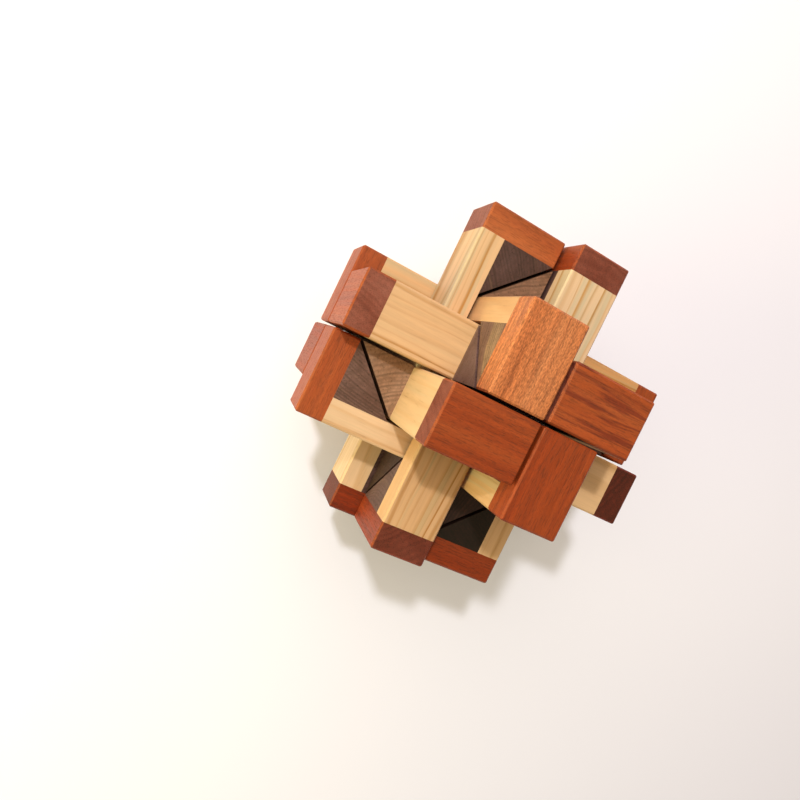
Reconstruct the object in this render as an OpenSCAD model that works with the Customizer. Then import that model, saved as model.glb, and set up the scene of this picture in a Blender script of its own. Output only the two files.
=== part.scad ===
// Six-piece expanding burr puzzle in three woods.
// Six identical pieces sit one on each side of a hollow cube. A piece is a flat pinwheel of four slats,
// with a cap across the end of each slat, a gusset under each cap and four wedges on its outer face.
// The sloping wedge faces run against the gussets of the neighbours, so the six pieces can only open
// and close together, each along its own axis.

/* [Slats] */
// Width of a slat, a cap, a gusset and a wedge
slat_w = 13.2; // [10:0.1:18]
// Thickness of a slat
slat_t = 6; // [4:0.1:9]

/* [Caps] */
// Thickness of a cap, along its slat
cap_t = 6.4; // [4:0.1:10]

/* [Fit] */
// Clearance between faces of neighbouring pieces
gap = 0.8; // [0.4:0.1:1.2]
// Width of the eased edge on the outside of slats and caps
ease = 0.4; // [0:0.1:0.8]
// Thickness of the glue line where a wedge's end meets the next wedge
glue_line = 0.1; // [0.05:0.05:0.2]

/* [Hidden] */
// Half of the clearance belongs to each piece, measured from the planes through the centre
half_gap = gap / 2;
// Side faces of a slat, measured across the piece
near_side = half_gap;
far_side = near_side + slat_w;
// Distance from the centre to a piece's inner face and outer face
inner_face = far_side + gap;
outer_face = inner_face + slat_t;
// A cap is as long as a piece is deep, less the clearance to the opposite piece
cap_l = outer_face - half_gap;
// Distance from the centre to the two faces of a cap
cap_seat = outer_face + slat_w + half_gap;
reach = cap_seat + cap_t;
// Legs of the two right-angled prisms: their sloping faces stay one clearance apart
wedge_leg = slat_w - gap / 4;
gusset_leg = inner_face + slat_w - wedge_leg - gap * sqrt(2);

// Each piece: its name, the turn that brings it from the top to its own side, and where its arms point
PIECES = [
    ["top", [0, 0, 0], ["east", "north", "west", "south"]],
    ["bottom", [180, 0, 0], ["east", "south", "west", "north"]],
    ["east", [0, 90, 0], ["down", "north", "up", "south"]],
    ["west", [0, -90, 0], ["up", "north", "down", "south"]],
    ["north", [-90, 0, 0], ["east", "down", "west", "up"]],
    ["south", [90, 0, 0], ["east", "up", "west", "down"]]
];
ARMS = [0:3];

function slat_name(piece, arm) = str(piece[0], "_slat_", piece[2][arm]);
function cap_name(piece, arm) = str(piece[0], "_cap_", piece[2][arm]);
function gussets_name(piece) = str(piece[0], "_gussets");
function wedges_name(piece) = str(piece[0], "_wedges");

// The two points that replace a corner when it is cut, or the corner itself
function cut_corner(at, to_previous, to_next, cut) =
    cut > 0 ? [at + cut * to_previous, at + cut * to_next] : [at];

// Rectangle from the origin, with its corners at x = 0 cut by near and its other two by far
module eased_rect(size, near, far) {
    polygon([
        each cut_corner([0, 0], [0, 1], [1, 0], near),
        each cut_corner([size.x, 0], [-1, 0], [0, 1], far),
        each cut_corner(size, [0, -1], [-1, 0], far),
        each cut_corner([0, size.y], [1, 0], [0, -1], near)
    ]);
}

// Everything below is drawn on the top piece's arm that points along +x. The arm lies on the -y side
// of the centre line, as in a pinwheel, and turning it by quarters gives the other three.

// Slat from the side of the next slat out to the cap's seat
module slat() {
    color("burlywood")
        translate([-half_gap, -near_side, outer_face])
            rotate([90, 90, 90])
                mirror([0, 1, 0])
                    linear_extrude(cap_seat + half_gap)
                        eased_rect([slat_t, slat_w], ease, 0);
}

// Cap: a block across the slat's end that overhangs towards the centre plane
module cap() {
    color("sienna")
        translate([cap_seat, -far_side, half_gap])
            intersection() {
                linear_extrude(cap_l)
                    eased_rect([cap_t, slat_w], 0, ease);
                translate([0, slat_w, 0])
                    rotate([90, 0, 0])
                        linear_extrude(slat_w)
                            eased_rect([cap_t, cap_l], 0, ease);
                rotate([90, 0, 90])
                    linear_extrude(cap_t)
                        eased_rect([slat_w, cap_l], ease, ease);
            }
}

// Gusset in the corner between the slat's inner face and the cap's underside
module gusset() {
    color("dimgray")
        translate([cap_seat, -near_side, inner_face])
            rotate([90, 0, 0])
                linear_extrude(slat_w)
                    polygon([[0, 0], [-gusset_leg, 0], [0, -gusset_leg]]);
}

// Wedge on the slat's outer face at the centre: upright on the centre line, sloping down to -y
module wedge() {
    wedge_start = glue_line - half_gap;
    color("dimgray")
        translate([wedge_start, -near_side, outer_face])
            rotate([90, 0, 90])
                linear_extrude(far_side - wedge_start)
                    polygon([[0, 0], [0, wedge_leg], [-wedge_leg, 0]]);
}

// Puts a shape of the top piece's first arm on the given arm of the given piece
module placed(piece, arm) {
    translate([0, 0, reach])
        rotate(piece[1])
            rotate([0, 0, 90 * arm])
                children();
}

for (piece = PIECES) {
    for (arm = ARMS) {
        placed(piece, arm) slat();
        placed(piece, arm) cap();
        placed(piece, arm) gusset();
        placed(piece, arm) wedge();
    }
}
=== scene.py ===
import math
import random
from types import SimpleNamespace

import bpy
from mathutils import Matrix, Vector


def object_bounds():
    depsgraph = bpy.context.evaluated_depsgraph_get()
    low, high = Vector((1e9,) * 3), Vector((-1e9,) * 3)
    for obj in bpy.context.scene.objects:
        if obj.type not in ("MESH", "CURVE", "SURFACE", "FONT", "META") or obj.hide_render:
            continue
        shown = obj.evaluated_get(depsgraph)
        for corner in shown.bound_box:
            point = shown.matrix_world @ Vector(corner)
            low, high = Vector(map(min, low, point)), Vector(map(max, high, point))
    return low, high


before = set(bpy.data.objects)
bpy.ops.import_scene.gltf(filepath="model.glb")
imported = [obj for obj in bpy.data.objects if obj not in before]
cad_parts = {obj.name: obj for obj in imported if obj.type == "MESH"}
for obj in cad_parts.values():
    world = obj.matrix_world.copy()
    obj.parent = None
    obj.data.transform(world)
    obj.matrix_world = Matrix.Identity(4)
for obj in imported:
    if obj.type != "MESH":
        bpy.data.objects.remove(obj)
cad_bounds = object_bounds()

# ---------------------------------------------------------------- the puzzle

# The six pieces by the side they sit on, and the ways their arms point
OUTWARD = {
    "top": Vector((0, 0, 1)),
    "bottom": Vector((0, 0, -1)),
    "east": Vector((1, 0, 0)),
    "west": Vector((-1, 0, 0)),
    "north": Vector((0, 1, 0)),
    "south": Vector((0, -1, 0)),
}
DIRECTIONS = dict(OUTWARD, up=OUTWARD["top"], down=OUTWARD["bottom"])

# The middle of the closed puzzle
CENTRE = (Vector(cad_bounds[0]) + Vector(cad_bounds[1])) / 2

# Millimetres in a metre: the wood patterns are measured in millimetres
MILLIMETRES = 1000

# How far a sanded edge is rounded, in metres, and in how many steps
EDGE_WIDTH = 0.00006
EDGE_SEGMENTS = 2

# How single bits of wood differ from their species, and where a darker tone is painted shade. What is
# left out is usual or drawn at random.
#   tone and shade: lighter (above 0) or darker (below 0) than the usual, before a small random step.
#       On the parts marked below, the darker value is painted shade where other parts shadow them
#   pale: how far it goes from the usual colour to the species' pale one
#   figure: how strongly the streaks show
#   rings: how strongly the growth rings show, where 1 is usual
#   sawn: the way from the pith to the board, in degrees from the first direction across the grain
#         to the second, for a board whose rings cross the face that shows
LOOKS = {
    "top_slat_east": dict(tone=0.2, pale=0.0, figure=0.2, rings=1.3),
    "top_slat_north": dict(tone=0.25, pale=0.4, figure=1.0, rings=1.8, sawn=80),
    "top_slat_south": dict(tone=-0.6, pale=0.4, figure=0.7, rings=1.4, sawn=100),
    "top_slat_west": dict(tone=-0.65, pale=0.5, figure=0.4, rings=0.9, sawn=75),
    "east_slat_south": dict(tone=0.15, pale=0.0, figure=0.2),
    "west_slat_north": dict(pale=0.3, figure=0.9, rings=1.3, sawn=15),
    "west_slat_south": dict(tone=0.2, pale=0.3, figure=0.3),
    "west_slat_up": dict(rings=0.3),
    # Painted shade: this slat at the lower right lies in the shadow of the caps above it
    "north_slat_east": dict(tone=-0.8),
    "north_slat_up": dict(tone=-0.7),
    "north_slat_west": dict(tone=-0.3),
    "south_slat_up": dict(rings=0.6),
    "south_slat_west": dict(pale=0.7, rings=0.5),
    # Painted shade: the top piece's east and south caps lie in the shadow of the caps beside them
    "top_cap_east": dict(tone=-1.1),
    "top_cap_south": dict(tone=-0.6),
    "top_cap_west": dict(tone=0.2),
    # Painted shade on this cap, which lies in the shadow of its neighbours
    "east_cap_south": dict(tone=-0.4),
    "east_cap_up": dict(tone=0.1, figure=0.7, sawn=12),
    "west_cap_north": dict(tone=0.35),
    # Painted shade on this cap, whose face near the centre is hidden from the light by the cap beside
    # it
    "west_cap_south": dict(tone=-1.0),
    "west_cap_up": dict(figure=0.2, sawn=215),
    "north_cap_up": dict(tone=-0.1, pale=1.0, figure=0.35, sawn=164),
    "north_cap_west": dict(tone=0.3),
    "south_cap_up": dict(tone=-0.35, figure=0.15, sawn=40),
    "south_cap_west": dict(tone=0.1),
    # Painted shade on the gussets deep in the pit at the lower right
    "east_gussets": dict(tone=-2.6),
    "west_gussets": dict(tone=-0.35),
    "north_gussets": dict(pale=0.4, figure=0.8),
    "south_gussets": dict(tone=-0.1, pale=0.2),
    "west_wedges": dict(pale=1.0),
    "north_wedges": dict(pale=0.7),
    # Painted shade on the wedges in the pit beside the south piece
    "south_wedges": dict(tone=-1.2),
}

# ---------------------------------------------------------------- the wood patterns

# Noise scales in waves per millimetre, along the grain and twice across it
WANDER_SCALE = (0.02, 0.09, 0.09)
FIBRE_SCALE = (0.03, 0.9, 0.9)
PATCH_SCALE = (0.012, 0.16, 0.16)

# Noise that changes only outward from the pith moves the rings, so that their gaps differ: its
# scale, and how many rings it moves them at most
RING_DRIFT_SCALE = (0, 0.23, 0)
RING_DRIFT = 2.2

# How strongly the faintest ring shows, where the strongest is 1
FAINTEST_RING = 0.15

# How much the fibres break up a ring's line, and how much stronger rings show on end grain
LINE_RAGGEDNESS = 1.6
END_RINGS = 0.2

# Streaks show where their noise passes a level, which a stronger figure lowers. Streaks and pores
# reach their full strength at a softness above their levels
STREAK_LEVEL = 0.60
STREAK_SPREAD = 0.16
STREAK_SOFTNESS = 0.13
PORE_SOFTNESS = 0.12

# How strong the mottling is in the usual colour, and how much a pale of 1 adds to that
MOTTLE_SHARE = 0.5
PALE_MOTTLE = 1.5

# How far end grain takes on its own colour, and how far a tone of 1 lowers the gamma
END_COLOUR_SHARE = 0.85
TONE_STRENGTH = 0.4

# How much pores, end grain and fibres roughen the surface, and how high fibres stand beside pores
MARK_ROUGHNESS = 0.12
FIBRE_ROUGHNESS = 0.15
FIBRE_HEIGHT = 0.4
BUMP_DISTANCE = 0.0001

# A face is end grain when it looks this squarely along the grain: from none of it to all of it
END_FACING = (0.75, 0.95)

# The four prisms of one node: how far apart in the log they were cut, in millimetres, and how
# far their tones differ
PRISM_SHIFT = (200, 36, 36)
PRISM_TONES = 0.6

# The largest random step in tone, and the furthest random place along the log, in millimetres
TONE_STEP = 0.2
LOG_REACH = 400

# The wood's sheen
SHEEN_LEVEL = 0.45
SHEEN_TINT = (1.0, 0.86, 0.55, 1.0)

# What a wood's node group takes in beside the place, and gives out beside the colour
GROUP_INPUTS = ("End", "Tone_and_shade", "Pale", "Figure", "Rings")
GROUP_OUTPUTS = ("Roughness", "Height")

# The places of the Mix node's sockets: its factor, two numbers, two colours and mixed colour
MIX_FACTOR = 0
MIX_NUMBERS = (2, 3)
MIX_COLOURS = (6, 7)
MIX_COLOUR_RESULT = 2


class Graph:
    """Adds nodes to a node tree. Each call except add and feed returns what the new node gives out."""

    def __init__(self, tree):
        self.tree = tree

    def add(self, kind, **settings):
        """The new node itself."""
        node = self.tree.nodes.new(kind)
        for name, value in settings.items():
            setattr(node, name, value)
        return node

    def feed(self, socket, value):
        """Links an output to the socket, or sets a plain value on it."""
        if isinstance(value, bpy.types.NodeSocket):
            self.tree.links.new(value, socket)
        else:
            socket.default_value = value

    def math(self, operation, *values, clamp=False):
        """One step of arithmetic on numbers. A clamped result stays from 0 to 1."""
        node = self.add("ShaderNodeMath", operation=operation, use_clamp=clamp)
        for socket, value in zip(node.inputs, values):
            self.feed(socket, value)
        return node.outputs[0]

    def vector(self, operation, *values):
        """One step of arithmetic on vectors. A length or a dot product is a number."""
        node = self.add("ShaderNodeVectorMath", operation=operation)
        for socket, value in zip(node.inputs, values):
            self.feed(socket, value)
        return node.outputs["Value" if operation in ("LENGTH", "DOT_PRODUCT") else "Vector"]

    def combine(self, x, y, z):
        """A vector from its three parts."""
        node = self.add("ShaderNodeCombineXYZ")
        for socket, value in zip(node.inputs, (x, y, z)):
            self.feed(socket, value)
        return node.outputs[0]

    def separate(self, vector):
        """The three parts of a vector."""
        node = self.add("ShaderNodeSeparateXYZ")
        self.feed(node.inputs[0], vector)
        return node.outputs[0], node.outputs[1], node.outputs[2]

    def noise(self, vector, scale, detail=2.0, roughness=0.5):
        """Noise from 0 to 1, with its own scale along each axis."""
        node = self.add("ShaderNodeTexNoise")
        self.feed(node.inputs["Vector"], self.vector("MULTIPLY", vector, scale))
        node.inputs["Scale"].default_value = 1.0
        node.inputs["Detail"].default_value = detail
        node.inputs["Roughness"].default_value = roughness
        return node.outputs[0]

    def centred_noise(self, vector, scale, detail=2.0, roughness=0.5):
        """Noise from -0.5 to 0.5, so a pattern's depth is doubled where it is used."""
        return self.math("SUBTRACT", self.noise(vector, scale, detail, roughness), 0.5)

    def ease(self, value, low, high, to_low=0.0, to_high=1.0):
        """A smooth step: to_low up to low, and to_high from high on."""
        node = self.add("ShaderNodeMapRange", interpolation_type="SMOOTHSTEP")
        for socket, number in zip(node.inputs, (value, low, high, to_low, to_high)):
            self.feed(socket, number)
        return node.outputs[0]

    def blend(self, factor, a, b):
        """a where factor is 0, b where it is 1, for plain numbers."""
        node = self.add("ShaderNodeMix", data_type="FLOAT")
        self.feed(node.inputs[MIX_FACTOR], factor)
        self.feed(node.inputs[MIX_NUMBERS[0]], a)
        self.feed(node.inputs[MIX_NUMBERS[1]], b)
        return node.outputs[0]

    def mix(self, factor, a, b, mode="MIX"):
        """a where factor is 0, b where it is 1, for colours."""
        node = self.add("ShaderNodeMix", data_type="RGBA", blend_type=mode)
        self.feed(node.inputs[MIX_FACTOR], factor)
        self.feed(node.inputs[MIX_COLOURS[0]], a)
        self.feed(node.inputs[MIX_COLOURS[1]], b)
        return node.outputs[MIX_COLOUR_RESULT]


def colour(red, green, blue):
    """Linear colour from the display values 0 to 255."""
    def linear(value):
        value /= 255
        return value / 12.92 if value <= 0.04045 else ((value + 0.055) / 1.055) ** 2.4
    return (linear(red), linear(green), linear(blue), 1.0)


# What makes each species. Lengths are in millimetres, and scales are along and twice across the
# grain. A depth is how far a pattern goes from the plain wood.
#   log_radius: how far from the pith the boards were cut
#   pale_range, figure_range: the limits of what LOOKS leaves out, where None stands for 0
#   ring_gap: the distance from one growth ring to the next
#   ring_choice: below 1 most rings are strong, above 1 few are
#   ring_rise, ring_fall: where in its gap a ring is darkest, and where it has faded, from 0 to 1
#   wander: how far the rings wander in and out
#   streak_scale: along the grain and outward from the pith, since streaks follow the rings
#   pore_level: what the pores' noise must pass, so a higher level means fewer pores
#   pores_in_rings: how far the pores keep to the rings' lines, from 0 to 1
#   patchiness: how far the tone changes from place to place
WOODS = {
    "ash": SimpleNamespace(
        base=colour(210, 164, 116),
        pale_colour=colour(212, 180, 146),
        end_colour=colour(182, 136, 90),
        ring_colour=colour(176, 124, 66),
        streak_colour=colour(194, 168, 130),
        log_radius=(50, 110),
        pale_range=(0.0, 0.5),
        figure_range=(0.4, 1.0),
        ring_gap=2.0,
        ring_depth=0.95,
        ring_choice=1.5,
        ring_rise=0.12,
        ring_fall=0.45,
        wander=2.0,
        streak_scale=(0.006, 0.30, 0.0),
        pore_scale=(0.16, 2.6, 2.6),
        pore_level=0.55,
        pore_depth=0.22,
        pores_in_rings=0.85,
        fibre_depth=0.14,
        mottle_scale=(0.3, 0.8, 0.8),
        mottle_depth=0.03,
        patchiness=0.5,
        roughness=0.5,
        bump=0.2,
    ),
    "padauk": SimpleNamespace(
        base=colour(150, 62, 23),
        pale_colour=colour(190, 108, 60),
        end_colour=colour(119, 61, 49),
        ring_colour=colour(92, 30, 18),
        streak_colour=colour(92, 22, 12),
        log_radius=(25, 70),
        pale_range=None,
        figure_range=(0.05, 0.3),
        ring_gap=1.5,
        ring_depth=0.3,
        ring_choice=0.6,
        ring_rise=0.35,
        ring_fall=0.95,
        wander=2.2,
        streak_scale=(0.045, 1.15, 0.0),
        pore_scale=(0.4, 4.5, 4.5),
        pore_level=0.52,
        pore_depth=0.30,
        pores_in_rings=0.0,
        fibre_depth=0.38,
        mottle_scale=(1.5, 3.2, 3.2),
        mottle_depth=0.45,
        patchiness=1.2,
        roughness=0.5,
        bump=0.3,
    ),
    "walnut": SimpleNamespace(
        base=colour(92, 64, 61),
        pale_colour=colour(140, 102, 78),
        end_colour=colour(92, 65, 63),
        ring_colour=colour(50, 32, 26),
        streak_colour=colour(150, 118, 86),
        log_radius=(30, 80),
        pale_range=None,
        figure_range=(0.1, 0.4),
        ring_gap=0.7,
        ring_depth=0.5,
        ring_choice=0.7,
        ring_rise=0.4,
        ring_fall=0.95,
        wander=1.2,
        streak_scale=(0.03, 0.25, 0.0),
        pore_scale=(0.30, 2.8, 2.8),
        pore_level=0.58,
        pore_depth=0.40,
        pores_in_rings=0.0,
        fibre_depth=0.55,
        mottle_scale=(0.5, 1.4, 1.4),
        mottle_depth=0.10,
        patchiness=1.2,
        roughness=0.55,
        bump=0.3,
    ),
}


def growth_rings(graph, wood, place):
    """The distance from the pith, and how strong the ring's line is there, from 0 to 1."""
    wander = graph.centred_noise(place, WANDER_SCALE)
    across = graph.vector("MULTIPLY", place, (0, 1, 1))
    radius = graph.math("MULTIPLY_ADD", wander, wood.wander * 2, graph.vector("LENGTH", across))
    drift = graph.noise(graph.combine(0.0, radius, 0.0), RING_DRIFT_SCALE, detail=1.0)
    drift = graph.math("MULTIPLY", drift, RING_DRIFT)
    ring = graph.math("ADD", graph.math("DIVIDE", radius, wood.ring_gap), drift)
    phase = graph.math("FRACT", ring)
    rise = graph.ease(phase, 0.0, wood.ring_rise)
    fall = graph.ease(phase, wood.ring_rise, wood.ring_fall, 1.0, 0.0)

    # Each ring has its own strength
    own = graph.add("ShaderNodeTexWhiteNoise", noise_dimensions="1D")
    graph.feed(own.inputs["W"], graph.math("FLOOR", ring))
    strength = graph.math("POWER", own.outputs["Value"], wood.ring_choice)
    strength = graph.math("MULTIPLY_ADD", strength, 1 - FAINTEST_RING, FAINTEST_RING)
    return radius, graph.math("MULTIPLY", graph.math("MULTIPLY", rise, fall), strength)


def streaks(graph, wood, place, radius, figure):
    """Streaks that follow the growth layers, from 0 to 1."""
    along = graph.separate(place)[0]
    layer = graph.combine(along, radius, 0.0)
    level = graph.math("MULTIPLY_ADD", figure, -STREAK_SPREAD, STREAK_LEVEL)
    streak = graph.noise(layer, wood.streak_scale, detail=3.0, roughness=0.6)
    return graph.ease(streak, level, graph.math("ADD", level, STREAK_SOFTNESS))


def pores(graph, wood, place, line):
    """Pores, from 0 to 1. In some woods most of them lie in the rings' lines."""
    pore = graph.noise(place, wood.pore_scale, roughness=0.55)
    pore = graph.ease(pore, wood.pore_level, wood.pore_level + PORE_SOFTNESS)
    in_rings = graph.math("MULTIPLY_ADD", line, wood.pores_in_rings, 1.0 - wood.pores_in_rings)
    return graph.math("MULTIPLY", pore, in_rings)


def wood_tint(graph, wood, given, marks):
    """The wood's colour before its tone."""
    tint = graph.mix(given.pale, wood.base, wood.pale_colour)
    tint = graph.mix(graph.math("MULTIPLY", given.end, END_COLOUR_SHARE), tint, wood.end_colour)
    streak_share = graph.math("MULTIPLY", marks.streak, given.figure, clamp=True)
    tint = graph.mix(streak_share, tint, wood.streak_colour)
    ragged = graph.math("MULTIPLY_ADD", marks.fibre, LINE_RAGGEDNESS, 1.0)
    line = graph.math("MULTIPLY", marks.line, ragged)
    line = graph.math("MULTIPLY", line, given.rings, clamp=True)
    ring_share = graph.math("MULTIPLY_ADD", given.end, END_RINGS, wood.ring_depth)
    return graph.mix(graph.math("MULTIPLY", line, ring_share), tint, wood.ring_colour)


def wood_brightness(graph, wood, given, marks):
    """What the fibres, the mottling and the pores multiply the colour by."""
    brightness = graph.math("MULTIPLY_ADD", marks.fibre, wood.fibre_depth * 2, 1.0)
    mottle_share = graph.math("MULTIPLY_ADD", given.pale, PALE_MOTTLE, MOTTLE_SHARE)
    mottle = graph.math("MULTIPLY", marks.mottle, mottle_share)
    brightness = graph.math("MULTIPLY_ADD", mottle, wood.mottle_depth * 2, brightness)
    pore_share = graph.math("MULTIPLY_ADD", marks.pore, -wood.pore_depth, 1.0)
    return graph.math("MULTIPLY", brightness, pore_share)


def wood_group(name, wood):
    """A node group that turns a place in the log into colour, roughness and height.
    x runs along the grain, and the pith is the line y = z = 0."""
    tree = bpy.data.node_groups.new(name, "ShaderNodeTree")
    interface = tree.interface
    interface.new_socket("Place", in_out="INPUT", socket_type="NodeSocketVector")
    for socket in GROUP_INPUTS:
        interface.new_socket(socket, in_out="INPUT", socket_type="NodeSocketFloat")
    interface.new_socket("Colour", in_out="OUTPUT", socket_type="NodeSocketColor")
    for socket in GROUP_OUTPUTS:
        interface.new_socket(socket, in_out="OUTPUT", socket_type="NodeSocketFloat")
    graph = Graph(tree)
    inputs = graph.add("NodeGroupInput").outputs
    place = inputs["Place"]
    given = SimpleNamespace(
        end=inputs["End"],
        tone=inputs["Tone_and_shade"],
        pale=inputs["Pale"],
        figure=inputs["Figure"],
        rings=inputs["Rings"],
    )

    radius, line = growth_rings(graph, wood, place)
    marks = SimpleNamespace(
        line=line,
        streak=streaks(graph, wood, place, radius, given.figure),
        fibre=graph.centred_noise(place, FIBRE_SCALE, detail=3.0, roughness=0.65),
        mottle=graph.centred_noise(place, wood.mottle_scale, roughness=0.6),
        pore=pores(graph, wood, place, line),
    )

    tint = wood_tint(graph, wood, given, marks)
    brightness = wood_brightness(graph, wood, given, marks)
    tint = graph.mix(1.0, tint, graph.combine(brightness, brightness, brightness), "MULTIPLY")
    patch = graph.centred_noise(place, PATCH_SCALE)
    # The tone, which on some parts holds painted shade, and random patches set the gamma
    shade = graph.math("MULTIPLY_ADD", patch, wood.patchiness, given.tone)
    gamma = graph.add("ShaderNodeGamma")
    graph.feed(gamma.inputs["Color"], tint)
    graph.feed(gamma.inputs["Gamma"], graph.math("MULTIPLY_ADD", shade, -TONE_STRENGTH, 1.0))

    open_grain = graph.math("ADD", marks.pore, given.end)
    rough = graph.math("MULTIPLY_ADD", open_grain, MARK_ROUGHNESS, wood.roughness)
    rough = graph.math("MULTIPLY_ADD", marks.fibre, FIBRE_ROUGHNESS, rough)
    height = graph.math("SUBTRACT", graph.math("MULTIPLY", marks.fibre, FIBRE_HEIGHT), marks.pore)

    outputs = graph.add("NodeGroupOutput").inputs
    graph.feed(outputs["Colour"], gamma.outputs[0])
    graph.feed(outputs["Roughness"], rough)
    graph.feed(outputs["Height"], height)
    return tree


GROUPS = {name: wood_group(name + "_wood", wood) for name, wood in WOODS.items()}


# ---------------------------------------------------------------- a wood for each node

def turned(graph, rows):
    """The place in millimetres from the centre, read along the three directions in rows, and the
    way that the surface faces."""
    turn = Matrix(rows)
    node = graph.add("ShaderNodeMapping")
    node.inputs["Rotation"].default_value = turn.to_euler()
    node.inputs["Scale"].default_value = (MILLIMETRES,) * 3
    node.inputs["Location"].default_value = turn @ CENTRE * -MILLIMETRES
    texture = graph.add("ShaderNodeTexCoord")
    graph.feed(node.inputs["Vector"], texture.outputs["Object"])
    return node.outputs[0], texture.outputs["Normal"]


def facing(graph, normal, direction):
    """How squarely a surface faces a direction or its opposite, from 0 to 1."""
    return graph.math("ABSOLUTE", graph.vector("DOT_PRODUCT", normal, direction))


def folded(graph, place, normal, rows, along_arm):
    """For a node with one prism beside each of a piece's four arms. Gives each prism's place with x
    along its grain, how squarely the surface faces along the grain, and a number of the prism's
    own from 0 to 1. The grain runs along the arm or across it."""
    u, v, height = graph.separate(place)
    arm_on_u = graph.math("LESS_THAN", graph.math("MULTIPLY", u, v), 0.0)
    grain_on_u = arm_on_u if along_arm else graph.math("SUBTRACT", 1.0, arm_on_u)
    size_u = graph.math("ABSOLUTE", u)
    size_v = graph.math("ABSOLUTE", v)
    grain = graph.blend(grain_on_u, size_v, size_u)
    other = graph.blend(grain_on_u, size_u, size_v)
    facing_u = facing(graph, normal, rows[0])
    facing_v = facing(graph, normal, rows[1])
    facing_grain = graph.blend(grain_on_u, facing_v, facing_u)

    # Each prism is its own bit of the log
    own = graph.add("ShaderNodeTexWhiteNoise", noise_dimensions="3D")
    quarter = graph.combine(graph.math("SIGN", u), graph.math("SIGN", v), 0.5)
    graph.feed(own.inputs["Vector"], quarter)
    shift = graph.vector("SUBTRACT", own.outputs["Color"], (0.5, 0.5, 0.5))
    shift = graph.vector("MULTIPLY", shift, PRISM_SHIFT)
    place = graph.vector("ADD", graph.combine(grain, other, height), shift)
    return place, facing_grain, own.outputs["Value"]


def drawn(draw, limits):
    """A random number between the limits, or 0 with no draw where there are none."""
    return draw.uniform(*limits) if limits else 0.0


def wood_material(node_name, species, rows, fold=None):
    """A wood material for one CAD node. rows are the grain's direction and the two across it.
    fold is the kind of node, gussets or wedges, that holds four prisms."""
    wood = WOODS[species]
    look = LOOKS.get(node_name, {})
    material = bpy.data.materials.new(node_name + "_wood")
    material.use_nodes = True
    graph = Graph(material.node_tree)
    shader = material.node_tree.nodes["Principled BSDF"]

    # The order of the draws is fixed, and each is made even where the look states its own number
    draw = random.Random(node_name)
    tone = look.get("tone", 0.0) + draw.uniform(-TONE_STEP, TONE_STEP)
    radius = draw.uniform(*wood.log_radius)
    angle = math.radians(look.get("sawn", draw.uniform(0, 360)))
    along_log = draw.uniform(-LOG_REACH, LOG_REACH)
    pale = look.get("pale", drawn(draw, wood.pale_range))
    figure = look.get("figure", drawn(draw, wood.figure_range))

    place, normal = turned(graph, rows)
    if fold:
        place, facing_grain, own_tone = folded(graph, place, normal, rows, fold == "wedges")
        tone = graph.math("MULTIPLY_ADD", own_tone, PRISM_TONES, tone - PRISM_TONES / 2)
    else:
        facing_grain = facing(graph, normal, rows[0])
    start = Vector((along_log, math.cos(angle) * radius, math.sin(angle) * radius))

    group = graph.add("ShaderNodeGroup", node_tree=GROUPS[species])
    graph.feed(group.inputs["Place"], graph.vector("ADD", place, start))
    graph.feed(group.inputs["End"], graph.ease(facing_grain, *END_FACING))
    graph.feed(group.inputs["Tone_and_shade"], tone)
    graph.feed(group.inputs["Pale"], pale)
    graph.feed(group.inputs["Figure"], figure)
    graph.feed(group.inputs["Rings"], look.get("rings", 1.0))

    bump = graph.add("ShaderNodeBump")
    bump.inputs["Strength"].default_value = wood.bump
    bump.inputs["Distance"].default_value = BUMP_DISTANCE
    graph.feed(bump.inputs["Height"], group.outputs["Height"])
    graph.feed(shader.inputs["Base Color"], group.outputs["Colour"])
    graph.feed(shader.inputs["Roughness"], group.outputs["Roughness"])
    graph.feed(shader.inputs["Normal"], bump.outputs[0])
    shader.inputs["Specular IOR Level"].default_value = SHEEN_LEVEL
    shader.inputs["Specular Tint"].default_value = SHEEN_TINT
    return material


def slat_material(name, outward, along):
    """Pale wood with its grain along the slat."""
    return wood_material(name, "ash", (along, outward, along.cross(outward)))


def cap_material(name, outward, along):
    """Red-brown wood with its grain along the cap, which lies across its slat's end."""
    return wood_material(name, "padauk", (outward, along.cross(outward), along))


def prism_material(name, outward, kind):
    """Dark wood for a piece's four gussets or four wedges."""
    first = outward.orthogonal().normalized()
    return wood_material(name, "walnut", (first, outward.cross(first), outward), kind)


def ease_edges(node):
    """Softens a node's edges, as sanding does."""
    bevel = node.modifiers.new("eased edges", "BEVEL")
    bevel.width = EDGE_WIDTH
    bevel.segments = EDGE_SEGMENTS
    bevel.limit_method = "ANGLE"


def finish_node(name, node):
    """Gives a CAD node its wood and softens its edges."""
    piece, kind, *arm = name.split("_")
    if kind == "slat":
        material = slat_material(name, OUTWARD[piece], DIRECTIONS[arm[0]])
    elif kind == "cap":
        material = cap_material(name, OUTWARD[piece], DIRECTIONS[arm[0]])
    else:
        material = prism_material(name, OUTWARD[piece], kind)
    node.data.materials.clear()
    node.data.materials.append(material)
    ease_edges(node)


for name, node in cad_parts.items():
    finish_node(name, node)


# ---------------------------------------------------------------- floor, lights and camera

FLOOR_HALF_SIZE = 2.0
FLOOR_COLOUR = (0.87, 0.815, 0.86, 1.0)
FLOOR_ROUGHNESS = 0.7

# The nearest thing that the camera sees, in metres
CLIP_START = 0.01

STUDIO_GLOW = (1.0, 0.92, 0.82, 1.0)
STUDIO_GLOW_STRENGTH = 0.32


def floor_material():
    """Plain pale paint."""
    material = bpy.data.materials.new("floor_paint")
    material.use_nodes = True
    shader = material.node_tree.nodes["Principled BSDF"]
    shader.inputs["Base Color"].default_value = FLOOR_COLOUR
    shader.inputs["Roughness"].default_value = FLOOR_ROUGHNESS
    return material


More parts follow.
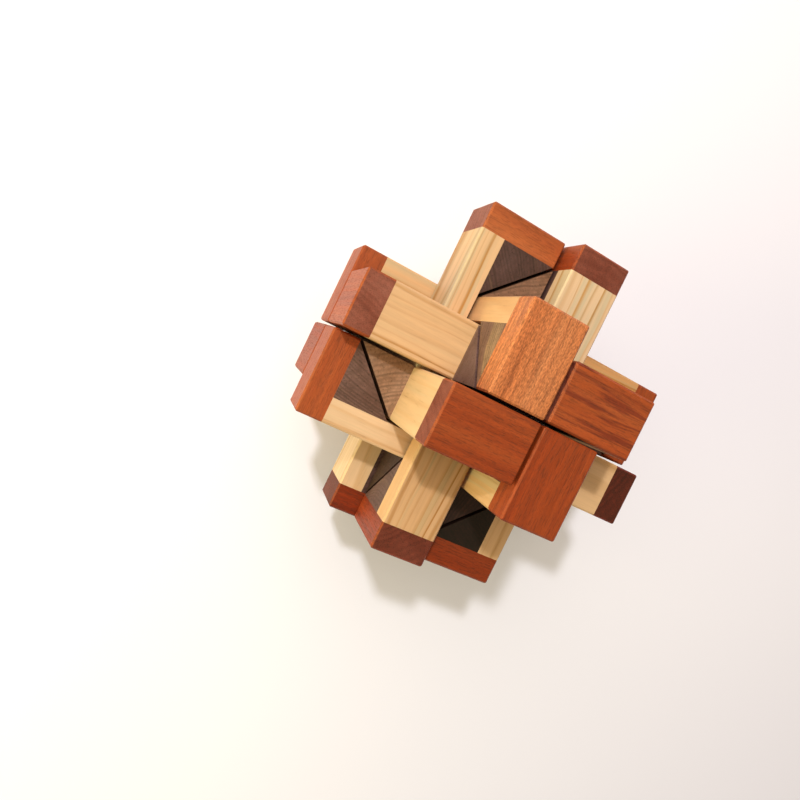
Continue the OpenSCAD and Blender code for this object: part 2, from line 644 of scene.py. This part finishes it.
def make_floor(half_size):
    """A square floor at the height the puzzle stands on."""
    mesh = bpy.data.meshes.new("floor")
    corners = [
        (-half_size, -half_size, 0),
        (half_size, -half_size, 0),
        (half_size, half_size, 0),
        (-half_size, half_size, 0),
    ]
    mesh.from_pydata(corners, [], [(0, 1, 2, 3)])
    floor = bpy.data.objects.new("floor", mesh)
    bpy.context.scene.collection.objects.link(floor)
    mesh.materials.append(floor_material())


def soft_light(name, direction, distance, size, watts, tint):
    """A square light at that distance from the puzzle's centre, facing it."""
    data = bpy.data.lights.new(name, "AREA")
    data.shape = "SQUARE"
    data.size = size
    data.energy = watts
    data.color = tint
    light = bpy.data.objects.new(name, data)
    direction = Vector(direction).normalized()
    light.location = CENTRE + direction * distance
    light.rotation_euler = direction.to_track_quat("Z", "Y").to_euler()
    bpy.context.scene.collection.objects.link(light)


def studio_glow():
    """The even light from all around, and plain display colours."""
    world = bpy.data.worlds.new("studio")
    world.use_nodes = True
    background = world.node_tree.nodes["Background"]
    background.inputs["Color"].default_value = STUDIO_GLOW
    background.inputs["Strength"].default_value = STUDIO_GLOW_STRENGTH
    bpy.context.scene.world = world
    bpy.context.scene.view_settings.view_transform = "Standard"


def make_camera(place, target, image_up, lens):
    """The scene's camera at place, looking at target, with image_up towards the picture's top."""
    data = bpy.data.cameras.new("camera")
    data.lens = lens
    data.clip_start = CLIP_START
    camera = bpy.data.objects.new("camera", data)
    backward = (place - target).normalized()
    right = image_up.cross(backward).normalized()
    up = backward.cross(right)
    turn = Matrix((right, up, backward)).transposed()
    camera.matrix_world = Matrix.Translation(place) @ turn.to_4x4()
    bpy.context.scene.collection.objects.link(camera)
    bpy.context.scene.camera = camera


make_floor(FLOOR_HALF_SIZE)

# A small lamp throws the clear shadows, a broad one fills the same side, and one fills the left
soft_light(
    "key",
    direction=(-0.435, 0.37, 0.82),
    distance=0.9,
    size=0.05,
    watts=4.6,
    tint=(0.95, 1.0, 1.04),
)
soft_light(
    "window",
    direction=(-0.50, 0.50, 0.75),
    distance=0.8,
    size=1.0,
    watts=5.6,
    tint=(1.0, 0.93, 0.80),
)
soft_light(
    "side",
    direction=(-1.0, -0.60, 0.25),
    distance=0.4,
    size=0.3,
    watts=1.2,
    tint=(1.0, 1.05, 0.55),
)
studio_glow()

make_camera(
    place=Vector((-0.0607, -0.0044, 0.1864)),
    target=Vector((-0.0159, -0.0091, 0.0404)),
    image_up=Vector((-0.410, 0.899, -0.155)),
    lens=27.84,
)
